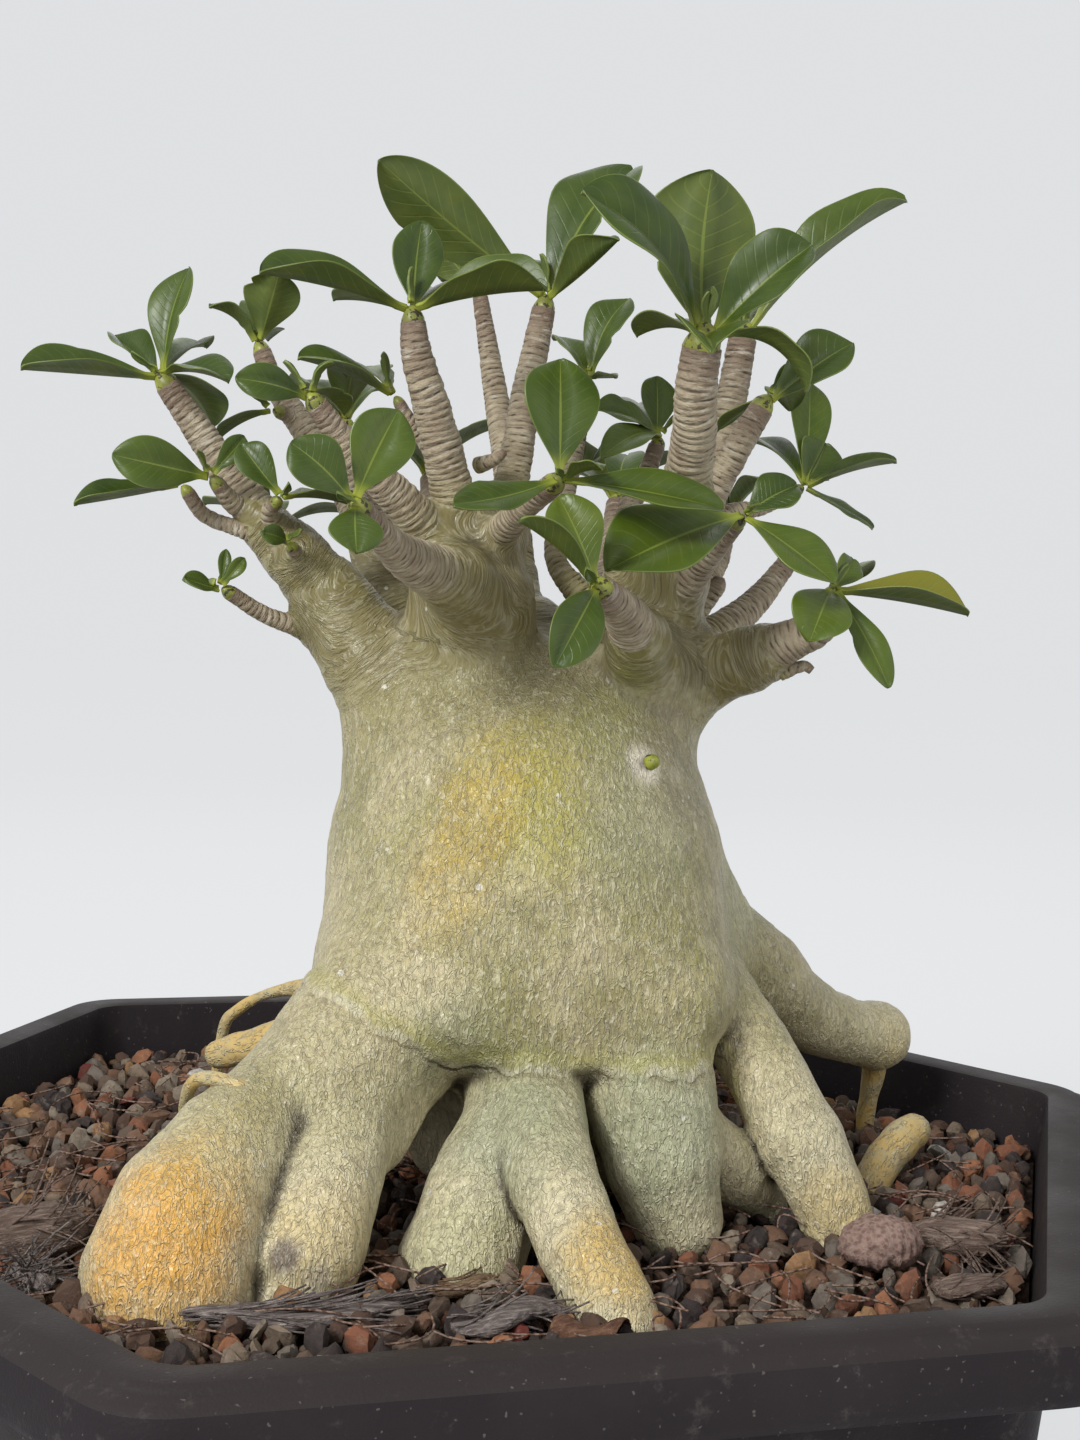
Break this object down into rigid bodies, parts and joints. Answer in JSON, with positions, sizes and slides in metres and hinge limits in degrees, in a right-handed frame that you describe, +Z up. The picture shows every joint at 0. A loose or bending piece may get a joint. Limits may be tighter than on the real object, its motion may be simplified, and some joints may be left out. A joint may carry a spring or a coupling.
{
  "type": "potted desert rose",
  "caption": "Desert rose (adenium) with a swollen stem, spreading bare roots and whorls of glossy leaves, in a shallow six-sided pot of gravelly mix.",
  "frame": {"origin": "centre of the pot's underside, where its feet stand", "axes": "+Z up, -Y the side the plant faces, X through two opposite corners of the pot"},
  "size_m": [0.3484, 0.3066, 0.3278],
  "materials": {
    "pot_plastic": "matt, faintly speckled",
    "gravel_mix": "loose lava, pumice and fired clay grains",
    "bark": "smooth living bark, finely wrinkled",
    "leaf": "glossy, leathery leaf",
    "husk": "dry fibrous coconut husk, bark and dead leaf",
    "soil_lump": "granular crumb of bark and grit"
  },
  "bodies": {
    "root": {"pot": "pot_plastic", "soil": "gravel_mix", "trunk": "bark", "husk_chunk_left": "husk", "husk_tuft_left": "husk", "husk_strip_left": "husk", "husk_strip_middle": "husk", "husk_strip_front": "husk", "husk_fan_right": "husk", "bark_chip_right": "husk", "soil_lump_right": "soil_lump", "dry_leaf_front": "husk", "rosette_left_tip": "leaf", "rosette_left_low": "leaf", "rosette_left_side": "leaf", "rosette_left_inner": "leaf", "leaf_left_limb": "leaf", "rosette_left_bottom": "leaf", "rosette_left_back": "leaf", "rosette_left_back_low": "leaf", "rosette_left_front": "leaf", "rosette_front_left": "leaf", "rosette_centre_left": "leaf", "rosette_centre_low": "leaf", "rosette_centre_tall": "leaf", "rosette_front_centre": "leaf", "rosette_front_low": "leaf", "rosette_right_tall": "leaf", "rosette_rear_tall": "leaf", "rosette_right_inner": "leaf", "rosette_front_right": "leaf", "rosette_right_side": "leaf", "rosette_right_tip": "leaf", "rosette_middle_right": "leaf", "rosette_middle": "leaf", "rosette_back_centre": "leaf", "rosette_back_far_left": "leaf", "rosette_back_left": "leaf", "rosette_back_middle": "leaf", "rosette_back_right": "leaf", "rosette_back_far_right": "leaf"}
  },
  "joints": []
}
